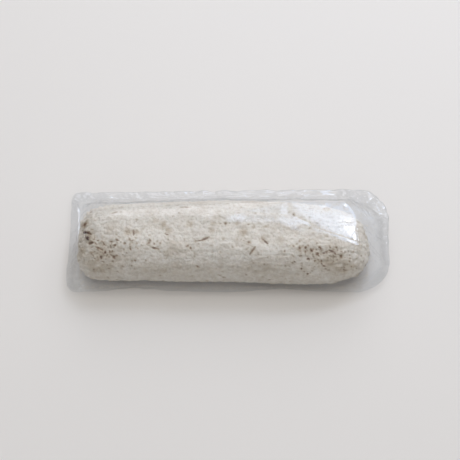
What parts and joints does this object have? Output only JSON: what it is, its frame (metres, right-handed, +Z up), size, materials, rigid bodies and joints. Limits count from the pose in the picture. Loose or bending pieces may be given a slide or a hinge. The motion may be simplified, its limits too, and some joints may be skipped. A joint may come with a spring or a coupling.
{
  "type": "stollen",
  "caption": "Long sugared fruit loaf sealed in a loose clear bag, lying flat, its film tucked under at both ends.",
  "frame": {"origin": "on the flat underside, below the middle of the bag", "axes": "+X along the loaf to its narrower end, +Y to the back of the bag, +Z up"},
  "size_m": [0.277, 0.0959, 0.0471],
  "materials": {
    "sugared_crust": "powdered sugar over baked crust",
    "raisin": "dried raisin skin",
    "clear_film": "glossy clear film"
  },
  "bodies": {
    "root": {"bagged_loaf": "sugared_crust"}
  },
  "joints": []
}
